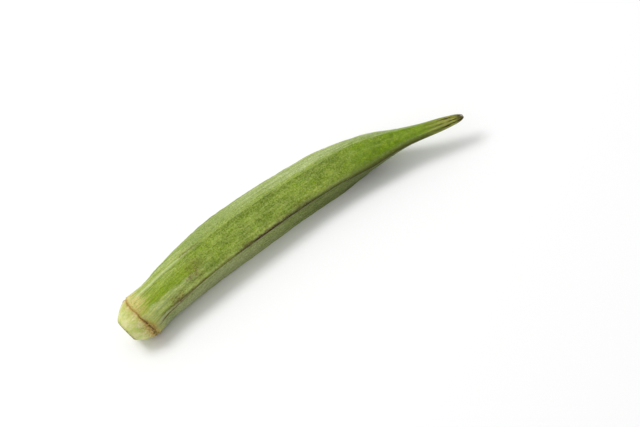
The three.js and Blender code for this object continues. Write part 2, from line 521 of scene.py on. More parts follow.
def with_masks(point, mesh, straight, laid):
    """Keeps on the mesh what its material reads, and where the spikes may grow."""
    tree, outside = point.tree, point.outside
    height = parted(laid)[2]
    off_floor = ramp(height, HAIRLESS_HEIGHT * MM, 3 * HAIRLESS_HEIGHT * MM)
    downy = eased(point.distance, HAIRINESS) * (1.0 + point.ridge) * off_floor
    torn_side = ramp(cosine(point.angle - TORN_SIDE * DEG), 0.2, 0.85)
    on_scar = bump_at(point.distance - SHRED_PLACE, SHRED_HALF_WIDTH) * outside
    mesh = stored(tree, mesh, "straight", straight, "FLOAT_VECTOR")
    masks = {
        "from_ridge": point.from_ridge,
        "from_rib": point.from_rib,
        "on_cut": 1.0 - outside,
        "downy": downy * outside,
        "scarred": on_scar,
        "torn": on_scar * torn_side,
    }
    for name, value in masks.items():
        mesh = stored(tree, mesh, name, value)
    return mesh


def pod_tree():
    """The skin: the outline's rings set round the centre line, with ridges, ribs, pleats and scar."""
    whole, real = "NodeSocketInt", "NodeSocketFloat"
    tree, given, exit_node = shape_tree("Pod shape", {
        "Outline": ("NodeSocketObject", None),
        "Centre Line": ("NodeSocketObject", None),
        "Rings": (whole, 2),
        "Columns per Flank": (whole, 12),
        "Ridges": (whole, 5),
        "First Ridge": (real, 0.0),
        "Ridge Half Width": (real, 1.0),
        "Rib Half Width": (real, 1.0),
        "Pleats": (whole, 7),
        "Scar Wander": (real, 0.0),
        "Lowest": ("NodeSocketVector", None),
        "Highest": ("NodeSocketVector", None),
    })
    point = SkinPoint(tree, given)
    point.add_lines()
    relief = sum(fine_relief(point), main_relief(point))
    reach = point.radius * straight_sided(point) + relief * point.outside
    ragged = point.outside * eased(point.distance, RAGGEDNESS) * scar_wander(point)
    stray = ragged + (1.0 - point.outside) * cut_relief(point)
    centre, sideways, upwards = on_centre_line(point, stray)
    to_side, to_top = reach * cosine(point.angle), reach * sine(point.angle)
    off_line = vector_node(tree, "ADD", scaled(sideways, to_side), scaled(upwards, to_top))
    set_out = scaled(vector_node(tree, "ADD", centre, off_line), MM)
    laid = kept_between(set_out, given["Lowest"], given["Highest"])
    straight = combined(tree, point.distance, to_side, to_top)

    mesh = with_masks(point, point.grid, straight, laid)
    mesh = node(tree, "GeometryNodeSetPosition", named={"Geometry": mesh, "Position": laid})
    mesh = node(tree, "GeometryNodeMergeByDistance",
                named={"Geometry": mesh, "Distance": MERGE_DISTANCE})
    mesh = node(tree, "GeometryNodeSetShadeSmooth", mesh)
    end_shape(tree, given, exit_node, mesh)
    return tree


def build_pod(material):
    rings = outline_rings()
    outline = guide("outline", rings)
    centre_line = guide("centre line", smooth_points(CENTRE_LINE, CENTRE_LINE_STEPS))
    pod = grown(
        "pod", pod_tree(), outline=outline, centre_line=centre_line, rings=len(rings),
        columns_per_flank=COLUMNS_PER_FLANK, ridges=RIDGES, first_ridge=FIRST_RIDGE * DEG,
        ridge_half_width=RIDGE_HALF_WIDTH, rib_half_width=RIB_HALF_WIDTH, pleats=PLEATS,
        scar_wander=SCAR_WANDER, lowest=CAD_BOX[0], highest=CAD_BOX[1], material=material)
    bpy.data.objects.remove(outline)
    bpy.data.objects.remove(centre_line)
    return pod


# ---- The spikes on it ----


def random_between(tree, low, high, seed, data_type="FLOAT"):
    return node(tree, "FunctionNodeRandomValue", data_type=data_type,
                named={"Min": low, "Max": high, "Seed": seed})


def spike_places(tree, given):
    """Points all over the skin where the mask lets them be, and the way that each spike leans."""
    skin = node(tree, "GeometryNodeObjectInfo", given["Skin"], out="Geometry")
    mask = node(tree, "GeometryNodeInputNamedAttribute", given["Mask"], data_type="FLOAT")
    density = given["Density"] * mask
    points, normal = node(tree, "GeometryNodeDistributePointsOnFaces", out=("Points", "Normal"),
                          named={"Mesh": skin, "Density": density, "Seed": given["Seed"]})
    stray = random_between(tree, (-1, -1, -1), (1, 1, 1), seed=11, data_type="FLOAT_VECTOR")
    lean = vector_node(tree, "ADD", normal, given["Lean"])
    return points, vector_node(tree, "ADD", lean, scaled(stray, given["Disorder"]))


def one_spike(tree, given):
    """A closed cone, flattened and bent, that starts just under the skin."""
    cone = node(tree, "GeometryNodeMeshCone", fill_type="NGON", named={
        "Vertices": given["Sides"], "Side Segments": 2, "Radius Top": given["Bluntness"],
        "Radius Bottom": 1.0, "Depth": 1.0})
    x, y, z = parted(node(tree, "GeometryNodeInputPosition"))
    bent = combined(tree, x * given["Width"] + given["Bend"] * given["Length"] * z * z,
                    y * given["Thickness"], (z - SUNK_SHARE) * given["Length"])
    return node(tree, "GeometryNodeSetPosition", named={"Geometry": cone, "Position": bent})


def scatter_tree():
    """Thin closed spikes that stand all over a skin, where one of its masks lets them."""
    whole, real, vector = "NodeSocketInt", "NodeSocketFloat", "NodeSocketVector"
    tree, given, exit_node = shape_tree("Spikes", {
        "Skin": ("NodeSocketObject", None),
        "Mask": ("NodeSocketString", None),
        "Density": (real, 1.0),
        "Seed": (whole, 1),
        "Length": (real, 1.0),
        "Width": (real, 0.1),
        "Thickness": (real, 0.1),
        "Sides": (whole, 3),
        "Bluntness": (real, 0.0),
        "Bend": (real, 0.0),
        "Lean": (vector, None),
        "Disorder": (real, 0.2),
        "Lowest": (vector, None),
        "Highest": (vector, None),
    })
    points, direction = spike_places(tree, given)
    turn = node(tree, "FunctionNodeAlignRotationToVector", axis="Z", named={"Vector": direction})
    spin = combined(tree, 0.0, 0.0, random_between(tree, 0.0, 2 * math.pi, seed=12))
    spun = node(tree, "FunctionNodeRotateRotation", rotation_space="LOCAL",
                named={"Rotation": turn, "Rotate By": spin})
    spikes = node(tree, "GeometryNodeInstanceOnPoints", named={
        "Points": points, "Instance": one_spike(tree, given), "Rotation": spun,
        "Scale": random_between(tree, *SPIKE_SCALES, seed=13)})
    tone = random_between(tree, 0.0, 1.0, seed=14)
    spikes = stored(tree, spikes, "tone", tone, domain="INSTANCE")
    real_spikes = node(tree, "GeometryNodeRealizeInstances", spikes)
    here = node(tree, "GeometryNodeInputPosition")
    laid = kept_between(here, given["Lowest"], given["Highest"])
    held = node(tree, "GeometryNodeSetPosition", named={"Geometry": real_spikes, "Position": laid})
    end_shape(tree, given, exit_node, held)
    return tree


def grow_spikes(name, tree, pod, mask, per_square_mm, size, **shape):
    """Spikes on the pod's skin, of a (length, width, thickness) in millimetres."""
    length, width, thickness = (value * MM for value in size)
    return grown(
        name, tree, skin=pod, mask=mask, density=per_square_mm / MM**2, length=length,
        width=width / 2, thickness=thickness / 2, lowest=CAD_BOX[0], highest=CAD_BOX[1], **shape)


# ---- Materials ----

# Colours as they look on a screen in even light, 0 to 255.
FLANK_GREEN = (126, 152, 22)
DEEP_GREEN = (84, 110, 4)
BRIGHT_GREEN = (138, 168, 0)
BEAK_GREEN = (114, 148, 0)
COOL_GREEN = (104, 150, 40)
LIME = (158, 180, 30)
# Painted shade on the flank nearest the floor, and a painted reflection of the floor on it towards the
# stem.
PAINTED_SHADE_GREEN = (118, 126, 66)
PAINTED_FLOOR_REFLECTION = (178, 178, 140)
# Painted sheen: the duller green of the upper flank.
PAINTED_SHEEN_DULL_GREEN = (120, 142, 48)
# Painted shadow along the first ridge and under the beak.
PAINTED_SHADOW_GREEN = (78, 86, 30)
PALE_GREEN = (172, 190, 88)
SPECK_GREEN = (204, 216, 122)
CREST_GREEN = (204, 216, 150)
# Painted sheen: the pale threads on the upper flank, and the painted glints on the neck.
PAINTED_SHEEN_PALE = (216, 226, 172)
CAP_CREAM = (230, 228, 164)
CAP_GREEN = (186, 206, 100)
TAN = (186, 144, 66)
STRAW = (214, 204, 110)
CREAM = (230, 212, 138)
BRUISE = (98, 72, 36)
RUST = (132, 84, 40)
DARK_BROWN = (56, 38, 20)
OLIVE = (136, 144, 62)
PITH = (206, 198, 126)
NUB = (184, 180, 164)
SHEEN = (236, 244, 214)
HAIR_DARK = (206, 214, 170)
HAIR_PALE = (244, 246, 226)


def paint(colour):
    """The linear colour of a 0 to 255 screen colour."""
    shares = [value / 255 for value in colour]
    linear = [c / 12.92 if c <= 0.04 else ((c + 0.055) / 1.055) ** 2.4 for c in shares]
    return (*linear, 1.0)


def mixed(factor, low, high):
    """A colour between two, which are screen colours or Values."""
    low, high = [c if isinstance(c, Value) else paint(c) for c in (low, high)]
    return node(factor.tree, "ShaderNodeMix", factor, low, high, data_type="RGBA")


def layered(colour, *layers):
    """A colour under layers, each a (cover, colour) laid over the ones before it."""
    for cover, layer in layers:
        colour = mixed(cover, colour, layer)
    return colour


def attribute(tree, name, out="Fac"):
    return node(tree, "ShaderNodeAttribute", attribute_type="GEOMETRY", attribute_name=name, out=out)


def placed(group, tree, **values):
    """Puts a shader group in a material's tree with its values, and gives its output."""
    made = tree.nodes.new("ShaderNodeGroup")
    made.node_tree = group
    for socket in made.inputs:
        name = socket.name.replace(" ", "_").lower()
        if name in values:
            feed(tree, socket, values[name])
    return Value(tree, made.outputs[0])


def mask_group(name, inputs):
    """A shader group that reads a place and some numbers, and gives a mask from 0 to 1."""
    kinds = {label: ("NodeSocketFloat", value) for label, value in inputs.items()}
    kinds = {"Place": ("NodeSocketVector", None), **kinds}
    return new_group(name, "ShaderNodeTree", kinds, {"Mask": "NodeSocketFloat"})


def streaks_group():
    """Streaks that run along the pod."""
    tree, given, exit_node = mask_group("Streaks", {"Width": 1.0, "Length": 30.0, "Cover": 0.5})
    x, y, z = parted(given["Place"])
    stretched = combined(tree, x / given["Length"], y / given["Width"], z / given["Width"])
    found = noise(stretched, 1.0, detail=3.0, roughness=0.55, distortion=0.3)
    edge = 0.5 + (0.5 - given["Cover"]) * 0.5
    feed(tree, exit_node.inputs["Mask"], ramp(found, edge - 0.12, edge + 0.12))
    return tree


def patches_group():
    """Rounded patches with uneven edges."""
    tree, given, exit_node = mask_group("Patches", {"Size": 1.0, "Cover": 0.5, "Edge": 0.1})
    shrunk = scaled(given["Place"], 1.0 / given["Size"])
    found = noise(shrunk, 1.0, detail=4.0, roughness=0.6, distortion=0.4)
    level = 0.5 + (0.5 - given["Cover"]) * 0.6
    feed(tree, exit_node.inputs["Mask"], ramp(found, level - given["Edge"], level + given["Edge"]))
    return tree


def side_group():
    """The side of the pod that faces an angle, in degrees, with a soft edge."""
    tree, given, exit_node = mask_group("Side", {"Angle": 0.0, "Half Width": 40.0, "Edge": 15.0})
    _, y, z = parted(given["Place"])
    angle = given["Angle"] * DEG
    length = math_node(tree, "SQRT", y * y + z * z + 1e-6)
    facing = (y * cosine(angle) + z * sine(angle)) / length
    low = cosine((given["Half Width"] + given["Edge"]) * DEG)
    high = cosine(given["Half Width"] * DEG)
    feed(tree, exit_node.inputs["Mask"], ramp(facing, low, high))
    return tree


def net_group():
    """A net of fine lines."""
    tree, given, exit_node = mask_group("Net", {"Size": 1.0, "Stretch": 2.0, "Line": 0.1})
    x, y, z = parted(given["Place"])
    size = given["Size"]
    shrunk = combined(tree, x / (size * given["Stretch"]), y / size, z / size)
    waves = node(tree, "ShaderNodeTexNoise", out=1,
                 named={"Vector": shrunk, "Scale": 1.3, "Detail": 2.0})
    bent = vector_node(tree, "ADD", shrunk, scaled(waves, 0.7))
    edge = node(tree, "ShaderNodeTexVoronoi", feature="DISTANCE_TO_EDGE",
                named={"Vector": bent, "Scale": 1.0})
    feed(tree, exit_node.inputs["Mask"], ramp(edge, given["Line"], 0.0))
    return tree


def spot_group():
    """One blemish with a ragged edge, at a distance along the pod and an angle round it."""
    tree, given, exit_node = mask_group("Spot", {
        "Distance": 0.0, "Angle": 0.0, "Radius": 8.0, "Length": 3.0, "Width": 1.0})
    x, y, z = parted(given["Place"])
    angle = given["Angle"] * DEG
    off_y = y - given["Radius"] * cosine(angle)
    off_z = z - given["Radius"] * sine(angle)
    along = (x - given["Distance"]) / given["Length"]
    round_it = (off_y * off_y + off_z * off_z) / (given["Width"] * given["Width"])
    reach = math_node(tree, "SQRT", along * along + round_it)
    ragged = reach + (noise(given["Place"], 1.4, detail=4.0, roughness=0.7) - 0.5) * 2.4
    feed(tree, exit_node.inputs["Mask"], ramp(ragged, 1.0, 0.6))
    return tree


def new_material(name, roughness, **constants):
    """A material with one Principled shader. Gives the material, its tree and the shader."""
    material = bpy.data.materials.new(name)
    material.use_nodes = True
    tree = material.node_tree
    shader = next(n for n in tree.nodes if n.type == "BSDF_PRINCIPLED")
    shader.inputs["Roughness"].default_value = roughness
    for label, value in constants.items():
        wanted = label.replace("_", " ").lower()
        socket = next(socket for socket in shader.inputs if socket.name.lower() == wanted)
        socket.default_value = value
    return material, tree, shader


def bumped(tree, shader, height):
    """Bumps the surface by a height in millimetres."""
    normal = node(tree, "ShaderNodeBump", named={"Height": height, "Distance": MM, "Strength": 1.0})
    feed(tree, shader.inputs["Normal"], normal)


class Skin:
    """What the parts of the skin's material share: its tree, its places and its masks."""

    def __init__(self, tree):
        self.tree = tree
        self.place = attribute(tree, "straight", "Vector")
        self.along, self.y, self.z = parted(self.place)
        self.from_ridge = attribute(tree, "from_ridge")
        self.from_rib = attribute(tree, "from_rib")
        self.on_cut = attribute(tree, "on_cut")
        self.groups = {"streaks": streaks_group(), "patches": patches_group(), "side": side_group(),
                       "net": net_group(), "spot": spot_group()}
        self.grain = self.patches(0.55, 0.5)
        self.dots = self.patches(0.5, 0.32, edge=0.05)
        self.dark_patches = self.patches(4.6, 0.46)
        self.net = self.mask("net", size=1.1, stretch=1.7, line=0.16)
        self.smudges = self.streaks(2.2, 6.5, 0.46)
        self.fine_streaks = self.streaks(0.7, 14.0, 0.45)
        self.fine_threads = self.streaks(0.3, 9.0, 0.3)
        self.threads = self.streaks(0.42, 40.0, 0.5)
        self.bands = self.streaks(1.5, 24.0, 0.45)

    def mask(self, group, **values):
        """A mask group that reads the skin's own places."""
        return placed(self.groups[group], self.tree, **{"place": self.place, **values})

    def patches(self, size, cover, edge=0.1):
        """Patches of a size in millimetres, over about a share of the skin."""
        return self.mask("patches", size=size, cover=cover, edge=edge)

    def streaks(self, width, length, cover):
        """Streaks of a width and a length in millimetres, over about a share of the skin."""
        return self.mask("streaks", width=width, length=length, cover=cover)

    def side(self, angle, half_width, edge, **values):
        """The side that faces an angle, fading over an edge, all in degrees."""
        return self.mask("side", angle=angle, half_width=half_width, edge=edge, **values)

    def by(self, *points):
        """A strength that follows a list of (distance along the pod, strength)."""
        return eased(self.along, points)


def flank_colour(skin):
    """The green flanks in broad clouds, brighter near the neck and deeper on the beak."""
    yellowed = skin.patches(5.2, 0.4) * skin.by((22, 0.9), (50, 0.7))
    cooled = skin.patches(4.4, 0.34, edge=0.08) * skin.by((22, 0.15), (50, 0.6))
    return layered(
        mixed(skin.patches(9.0, 0.42, edge=0.09), FLANK_GREEN, BRIGHT_GREEN),
        (yellowed, LIME),
        (cooled, COOL_GREEN),
        (skin.by((18, 0.0), (28, 0.6), (42, 0.6), (56, 0.0)), BRIGHT_GREEN),
        (skin.streaks(2.4, 30.0, 0.45) * 0.2, PALE_GREEN),
        (skin.dark_patches * 0.8, DEEP_GREEN),
        (skin.smudges * 0.48, PALE_GREEN),
        (skin.by((88, 0.0), (112, 0.75)), BEAK_GREEN),
    )


def flank_marks(skin, green):
    """Blotches, pale specks, a net and strokes over the flanks, and the beak's own patches."""
    rough_patches = skin.patches(6.0, 0.55, edge=0.14) * 0.6 + 0.4
    blotted = skin.by((20, 0.5), (30, 0.65), (60, 0.34), (90, 0.34), (108, 0.5))
    speckled = rough_patches * skin.by((12, 0.4), (28, 0.9), (48, 1.0), (80, 1.0), (108, 0.2))
    clumps = skin.patches(3.4, 0.45, edge=0.12)
    lights = skin.patches(1.9, 0.38)
    beak = skin.by((92, 0.0), (108, 1.0), (128, 0.7), (136, 0.0))
    return layered(
        green,
        (skin.patches(1.4, 0.5) * (rough_patches * blotted), DEEP_GREEN),
        (lights * speckled * 0.2, PALE_GREEN),
        (skin.net * speckled * 0.2, PALE_GREEN),
        (skin.dots * speckled * clumps * 0.5, SPECK_GREEN),
        (skin.streaks(0.8, 26.0, 0.26) * 0.3, PALE_GREEN),
        (skin.dark_patches * beak * 0.35, DEEP_GREEN),
        (lights * beak * 0.32, LIME),
        (skin.smudges * beak * 0.12, PALE_GREEN),
        (skin.fine_threads * speckled * 0.3, DEEP_GREEN),
        (skin.streaks(0.5, 9.0, 0.3) * speckled * 0.5, SPECK_GREEN),
    )


def painted_sheen_colour(skin, green):
    """The upper flank, which faces the bright surround, is painted duller and paler: a painted sheen,
    in threads side by side.
    """
    ruffle = node(skin.tree, "ShaderNodeTexNoise", out=1, named={
        "Vector": skin.place, "Scale": 0.45, "Detail": 4.0, "Roughness": 0.65})
    ruffle = scaled(vector_node(skin.tree, "SUBTRACT", ruffle, (0.5, 0.5, 0.5)), 4.0)
    ruffled = vector_node(skin.tree, "ADD", skin.place, ruffle)
    lower_edge = skin.by((50, 82.0), (74, 88.0), (90, 91.0), (105, 96.0), (118, 104.0))
    upper = skin.side(lower_edge + 46.0, 34.0, 12.0, place=ruffled)
    # Painted sheen: how much duller the upper flank is painted, and how much pale sheen lies on it.
    sheen_dulling = skin.by((10, 0.1), (24, 0.6), (100, 0.6), (112, 0.8), (126, 0.2), (138, 0.0))
    painted_sheen = skin.by(
        (24, 0.2), (50, 0.2), (62, 0.65), (80, 0.95), (96, 0.8), (110, 0.7), (118, 0.4), (126, 0.0))
    under = skin.side(76.0, 5.0, 9.0) * skin.by((40, 0.0), (60, 0.4), (92, 0.4), (102, 0.0))
    side_by_side = 0.05 + skin.threads * 0.4 + skin.bands * 0.4 + skin.dots * 0.3
    return layered(
        green,
        (under, DEEP_GREEN),
        # The painted sheen over the upper flank.
        (upper * sheen_dulling, PAINTED_SHEEN_DULL_GREEN),
        (upper * painted_sheen * side_by_side, PAINTED_SHEEN_PALE),
    )


def neck_colour(skin, green):
    """Brighter towards the stem, with a pale band on each rib, fine pale streaks and painted glints.
    """
    neck = skin.by((9, 1.0), (26, 0.9), (40, 0.0))
    from_rib = skin.from_rib + (noise(skin.place, 0.35, detail=3.0) - 0.5) * 2.2
    band = bump_at(from_rib, 0.9)
    band_edge = bump_at(from_rib - 1.0, 0.35)
    valley = bump_at(skin.from_rib - 2.7, 1.8)
    light_strip = bump_at(skin.from_rib - 5.2, 1.3)
    low_strip = bump_at(skin.from_rib + 1.6, 1.2)
    long_streaks = skin.streaks(1.3, 18.0, 0.5)
    scratches = skin.streaks(0.4, 4.5, 0.32)
    hairlines = skin.streaks(0.4, 12.0, 0.34)
    # Painted glints: short pale streaks of painted highlight on the rib bands.
    glints = skin.streaks(0.7, 5.0, 0.4)
    return layered(
        green,
        (neck * (0.3 + valley * 0.7), BRIGHT_GREEN),
        (neck * light_strip * 0.5, LIME),
        (neck * band * (0.35 + long_streaks * 0.5) * (0.5 + skin.grain * 0.5), CREST_GREEN),
        (neck * band_edge * (0.3 + long_streaks * 0.3 + glints * 0.4), CREST_GREEN),
        (neck * low_strip * 0.8, PALE_GREEN),
        (neck * band * glints * 0.5, PAINTED_SHEEN_PALE),
        (neck * skin.net * (0.05 + band * 0.3), CREST_GREEN),
        (neck * hairlines * (0.6 - valley * 0.6), CREST_GREEN),
        (neck * skin.fine_threads * 0.5, DEEP_GREEN),
        (neck * scratches * (0.3 + band * 0.5), STRAW),
    )


def painted_shade_colour(skin, green):
    """The front flank nearest the floor is painted greyer and darker as painted shade, and paler
    towards the stem as a painted reflection of the floor, with fine threads.
    """
    mottling = skin.patches(1.3, 0.45)
    underside = skin.side(-34.0, 22.0, 12.0)
    pale_stretch = skin.by((14, 0.0), (26, 0.25), (48, 0.4), (60, 0.1), (68, 0.0))
    # Painted shade, greyer and darker, paler towards the stem as a painted reflection of the floor,
    # with real threads and dots in it.
    painted_shade = layered(
        mixed(skin.by((36, 0.0), (66, 0.8), (86, 1.0)), PAINTED_FLOOR_REFLECTION, PAINTED_SHADE_GREEN),
        (skin.patches(4.2, 0.42) * 0.5, DEEP_GREEN),
        (skin.patches(2.8, 0.42) * 0.55, PAINTED_FLOOR_REFLECTION),
        (skin.threads * 0.3 + mottling * 0.35, DEEP_GREEN),
        (skin.fine_threads * 0.25 + skin.dots * 0.55, CREST_GREEN),
        # A painted reflection of the floor on the underside near the stem.
        (underside * pale_stretch, PAINTED_FLOOR_REFLECTION),
    )
    lower = skin.side(-26.0, skin.by((86, 34.0), (112, 27.0)), 6.0)
    # The painted shade laid over the lowest flank.
    return mixed(lower * skin.by((8, 0.5), (13, 0.9), (100, 0.85), (124, 0.4)), green, painted_shade)


def grain_colour(skin, green):
    """Fine dark and pale specks all over."""
    dark = skin.by((8, 0.2), (14, 0.6), (36, 1.0), (110, 1.0), (128, 0.6), (139, 0.2))
    pale = skin.by((8, 0.2), (14, 0.35), (50, 1.0), (86, 1.0), (112, 0.1))
    return layered(
        green,
        (dark * skin.grain * 0.5, DEEP_GREEN),
        (pale * skin.patches(0.6, 0.46, edge=0.08) * 0.3, SPECK_GREEN),
    )


def ridge_colour(skin, green):
    """The ridge lines: paler at both edges, and browned in places. The blunt one is a pale line."""
    on_blunt_ridge = skin.side(BLUNT_RIDGE + 10.0, 22.0, 8.0)
    elsewhere = 1.0 - on_blunt_ridge
    shoulder = bump_at(skin.from_ridge - 0.85, 0.35) * (0.05 + skin.grain * 0.3)
    pale_line = skin.by((9, 0.2), (12, 0.8), (26, 0.6), (40, 0.0))
    return layered(
        green,
        (shoulder * elsewhere, CREST_GREEN),
        (bump_at(skin.from_ridge, 0.5) * on_blunt_ridge * pale_line, CREST_GREEN),
        (bump_at(skin.from_ridge, 0.3) * skin.bands * elsewhere * 0.5, BRUISE),
    )


def first_ridge_colour(skin, colour):
    """The bruise along the first ridge, past it painted shadow along the ridge and under the beak, and
    the line from the scar.
    """
    broken = skin.streaks(0.8, 3.5, 0.76)
    swollen = skin.patches(3.0, 0.45)
    thickness = skin.by((12, 0.2), (34, 0.36), (54, 0.75)) + swollen * 0.6
    bruised = skin.by((9, 0.0), (15, 0.45), (46, 0.55), (54, 1.0), (76, 1.0), (94, 0.0))
    # Painted shadow: how strongly it lies along the first ridge and under the beak, past the bruise.
    painted_shadow = skin.by((60, 0.0), (88, 0.7), (100, 0.9), (128, 0.8), (136, 0.0))
    on_ridge = skin.side(FIRST_RIDGE, 14.0, 6.0)
    under_beak = skin.side(-40.0, 32.0, 40.0)
    line_angle = skin.by((9, -4.0), (34, FIRST_RIDGE))
    from_scar = skin.side(line_angle, 0.6, 2.4) * skin.by((8, 0.0), (14, 0.9), (26, 0.7), (38, 0.0))
    rim = bump_at(skin.from_ridge, thickness + 0.6) * broken
    middle = bump_at(skin.from_ridge, thickness) * (broken * 0.6 + 0.4)
    return layered(
        colour,
        (rim * on_ridge * bruised * swollen * 0.25, TAN),
        (middle * on_ridge * bruised, DARK_BROWN),
        # Painted shadow along the ridge and under the beak.
        (bump_at(skin.from_ridge, 1.2) * on_ridge * painted_shadow, PAINTED_SHADOW_GREEN),
        (under_beak * painted_shadow * 0.75, PAINTED_SHADOW_GREEN),
        # A thin dark line along the ridge, partly the bruise's run and partly painted shadow.
        (bump_at(skin.from_ridge, 0.4) * on_ridge * painted_shadow * 0.5, DARK_BROWN),
        (from_scar * (0.5 + broken * 0.5), BRUISE),
    )


def brown_marks(skin, colour):
    """Fine broken lines of brown, mostly by the ridges and nearer the stem, and blemishes."""
    worn = skin.streaks(0.4, 1.6, 0.4)
    scuffs = skin.patches(2.2, 0.3, edge=0.08) * worn
    by_ridge = bump_at(skin.from_ridge, 1.2) * 0.6 + 0.12
    fading = skin.by((12, 0.3), (24, 1.0), (50, 0.5), (120, 0.25))
    colour = mixed(scuffs * by_ridge * fading, colour, BRUISE)
    blemishes = [
        # distance, angle, radius, length, width, strength
        (34.0, 90.0, 8.6, 5.0, 1.0, 1.0),
        (22.0, 17.0, 7.8, 5.5, 2.2, 1.0),
        (31.0, 34.0, 8.8, 4.0, 2.4, 0.8),
        (33.0, 54.0, 8.8, 4.5, 2.6, 0.55),
        (64.0, 200.0, 8.6, 6.0, 1.6, 1.0),
        (88.0, 300.0, 7.8, 7.0, 1.5, 1.0),
    ]
    for distance, angle, radius, length, width, strength in blemishes:
        spot = skin.mask("spot", distance=distance, angle=angle, radius=radius,
                         length=length, width=width)
        colour = mixed(spot * strength * (0.28 + worn * 0.72), colour, BRUISE)
    return colour


def tip_colour(skin, colour):
    """The beak dries to olive with dark grooves, and ends in a pale nub."""
    angle = math_node(skin.tree, "ARCTAN2", skin.z, skin.y)
    furrows = ramp(cosine(angle * BEAK_FURROWS), 0.2, -0.5)
    drying = skin.by((126, 0.0), (132, 0.5), (136, 1.0))
    upper = ramp(skin.z, 0.4, 1.8)
    nub = ramp(skin.along + skin.z * 0.8 - skin.y * 0.3, 141.3, 141.8)
    return layered(
        colour,
        (drying * 0.8, mixed(upper * 0.32, OLIVE, STRAW)),
        (drying * (0.2 + furrows * 0.8) * skin.streaks(0.5, 6.0, 0.55), DARK_BROWN),
        (drying * (1.0 - furrows) * skin.fine_threads * 0.6, STRAW),
        (ramp(skin.along, 138.0, 140.4) * 0.6, DARK_BROWN),
        (nub * 0.85, NUB),
    )


class StemMasks:
    """What the colours of the receptacle, the scar and the skin past it share."""

    def __init__(self, skin):
        self.top = skin.side(98.0, 26.0, 30.0)
        self.front = skin.side(TORN_SIDE, 38.0, 30.0)
        self.ragged = (noise(skin.place, 0.9, detail=4.0, roughness=0.65) - 0.5) * 3.0
        self.grit = skin.patches(0.7, 0.5, edge=0.12)
        self.crust = skin.mask("net", size=1.0, stretch=1.0, line=0.22)


def past_scar_colour(skin, stem, colour):
    """Straw-coloured, in uneven fingers, just past the scar."""
    fingers = skin.streaks(1.1, 30.0, 0.5) * 2.4 - 1.2
    reach = skin.along + stem.ragged + fingers * 1.5 - stem.top * 1.2
    past_scar = ramp(reach, 12.6, 7.2) * (0.35 + stem.top * 0.5)
    return layered(
        colour,
        (past_scar * (0.6 + stem.grit * 0.4), mixed(stem.top, STRAW, CREAM)),
        (past_scar * past_scar * stem.grit * (0.6 - stem.top * 0.4), TAN),
        (past_scar * skin.dots * 0.4, BRUISE),
    )


def cap_colour(skin, stem, colour):
    """The pale receptacle, tanned and crusted towards the scar."""
    near_scar = ramp(skin.along + stem.ragged, 2.6, 6.8)
    near_cut = ramp(skin.along + stem.ragged * 0.3, 0.9, 0.1)
    cap = layered(
        mixed(skin.streaks(2.2, 9.0, 0.5) * 0.8, CAP_CREAM, CAP_GREEN),
        (skin.streaks(0.5, 2.6, 0.36) * 0.55, STRAW),
        (near_scar * (0.15 + stem.grit * 0.35), TAN),
        (near_scar * stem.front * stem.crust * 0.7, BRUISE),
        # A brown rim at the cut: partly its own browning, partly painted shade for the rim's shadowed
        # edge.
        (near_cut * (0.25 + stem.grit * 0.5), BRUISE),
    )
    return mixed(ramp(skin.along, 7.6, 7.0), colour, cap)


def scar_colour(skin, stem, colour):
    """The scar is thin and tan at the top, and wide, torn and brown at the front."""
    from_scar = skin.along + stem.ragged * 0.25 - SCAR_MIDDLE
    core = bump_at(from_scar, 0.2 + stem.front * 0.55) * (1.0 - stem.top * 0.7)
    flaky = skin.patches(0.65, 0.42, edge=0.06)
    return layered(
        colour,
        (bump_at(from_scar, 0.5 + stem.front) * (0.75 + stem.front * 0.25), TAN),
        (core * 0.85, mixed(stem.crust, RUST, DARK_BROWN)),
        (bump_at(from_scar, 1.3) * stem.front * flaky * 0.7, CREAM),
    )


def cut_colour(skin, colour):
    """The cut: a pale green rim, then brown fibres round a tan heart and a darker pith."""
    straight_radius = math_node(skin.tree, "SQRT", skin.y * skin.y + skin.z * skin.z)
    radius = straight_radius + (noise(skin.place, 0.8, detail=3.0) - 0.5) * 1.0
    grit = skin.patches(0.9, 0.5, edge=0.12)
    face = layered(
        mixed(grit, PITH, TAN),
        (bump_at(radius - (BARK_RADIUS - 0.3), 0.5) * (0.35 + grit * 0.6), DARK_BROWN),
        (ramp(radius, 0.9, 0.4) * 0.8, DARK_BROWN),
        (ramp(radius, BARK_RADIUS + 0.1, BARK_RADIUS + 0.4), CREST_GREEN),
    )
    return mixed(skin.on_cut, colour, face)


def skin_material():
    """The whole skin, from the cut and the scar over the green flanks to the brown tip."""
    material, tree, shader = new_material(
        "pod skin", 0.5, specular_ior_level=0.15, sheen_weight=0.08, sheen_roughness=0.3)
    shader.inputs["Sheen Tint"].default_value = paint(SHEEN)
    skin = Skin(tree)
    colour = flank_colour(skin)
    for add_part in (flank_marks, painted_sheen_colour, neck_colour, painted_shade_colour, grain_colour,
                     ridge_colour, first_ridge_colour, brown_marks, tip_colour):
        colour = add_part(skin, colour)
    stem = StemMasks(skin)
    for add_part in (past_scar_colour, cap_colour, scar_colour):
        colour = add_part(skin, stem, colour)
    feed(tree, shader.inputs["Base Color"], cut_colour(skin, colour))
    roughness = 0.42 + skin.grain * 0.14 + skin.dots * 0.1 + skin.on_cut * 0.2
    feed(tree, shader.inputs["Roughness"], roughness)
    height = skin.dots * 0.06 - skin.grain * 0.06 + skin.net * 0.04 + skin.fine_streaks * 0.04
    bumped(tree, shader, height)
    return material


def spike_material(name, dark, light, roughness):
    """A dull material whose colour differs from spike to spike."""
    material, tree, shader = new_material(name, roughness, specular_ior_level=0.3)
    feed(tree, shader.inputs["Base Color"], mixed(attribute(tree, "tone"), dark, light))
    return material


# ---- Stage ----

SURROUND_STRENGTH = 0.76
FRONT_DIMMING = 0.36
LIT_POINT = Vector((0, 0, 0.01))  # the pod's middle


